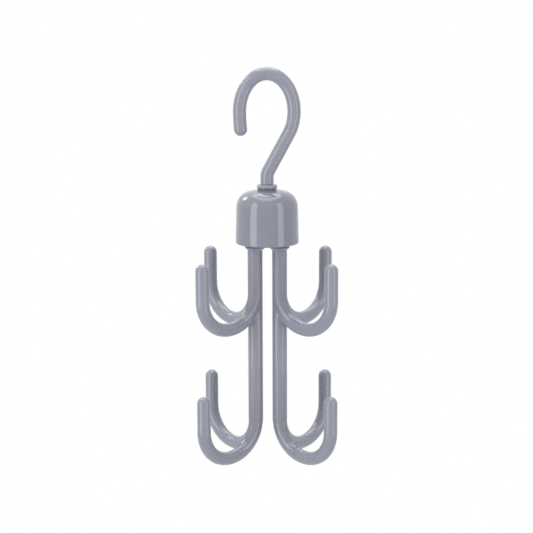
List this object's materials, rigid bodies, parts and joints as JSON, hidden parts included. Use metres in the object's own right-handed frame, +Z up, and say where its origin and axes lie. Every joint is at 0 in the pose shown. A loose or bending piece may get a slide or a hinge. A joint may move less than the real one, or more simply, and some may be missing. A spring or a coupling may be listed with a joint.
{
  "type": "rotating closet hook",
  "caption": "Rail hook with a swivelling domed housing, from which turning stems hang. Each stem has tiers of J-shaped claws for bags, belts and scarves.",
  "frame": {"origin": "rail seat: the inside top of the hook's arch, where the closet rail touches it", "axes": "+Z up along the swivel axis, +X to the right of the front view, +Y to the rear, along the rail"},
  "size_m": [0.0893, 0.0758, 0.2562],
  "materials": {
    "grey_plastic": "glossy injection-moulded plastic, cool bluish grey",
    "dark_nylon": "satin nylon, dark grey",
    "plated_steel": "zinc-plated steel"
  },
  "bodies": {
    "hook_body": {"hanging_hook": "grey_plastic", "hook_retaining_washer": "plated_steel", "hook_screw": "plated_steel"},
    "housing_body": {"housing": "grey_plastic", "base_plate": "grey_plastic", "base_screw_front": "plated_steel", "base_screw_rear": "plated_steel", "hook_thrust_washer": "dark_nylon"},
    "left_stem_body": {"left_stem": "grey_plastic", "left_thrust_washer": "dark_nylon", "left_retaining_washer": "plated_steel", "left_screw": "plated_steel"},
    "right_stem_body": {"right_stem": "grey_plastic", "right_thrust_washer": "dark_nylon", "right_retaining_washer": "plated_steel", "right_screw": "plated_steel"}
  },
  "joints": [
    {"name": "hook_swivel", "type": "hinge", "parent": "hook_body", "child": "housing_body", "pos_m": [0, 0, -0.0694], "axis": [0, 0, 1], "continuous": true},
    {"name": "left_stem_turn", "type": "hinge", "parent": "housing_body", "child": "left_stem_body", "pos_m": [-0.0079, 0, -0.1061], "axis": [0, 0, 1], "range_deg": [-44, 44]},
    {"name": "right_stem_turn", "type": "hinge", "parent": "housing_body", "child": "right_stem_body", "pos_m": [0.0079, 0, -0.1061], "axis": [0, 0, 1], "range_deg": [-44, 44]}
  ]
}
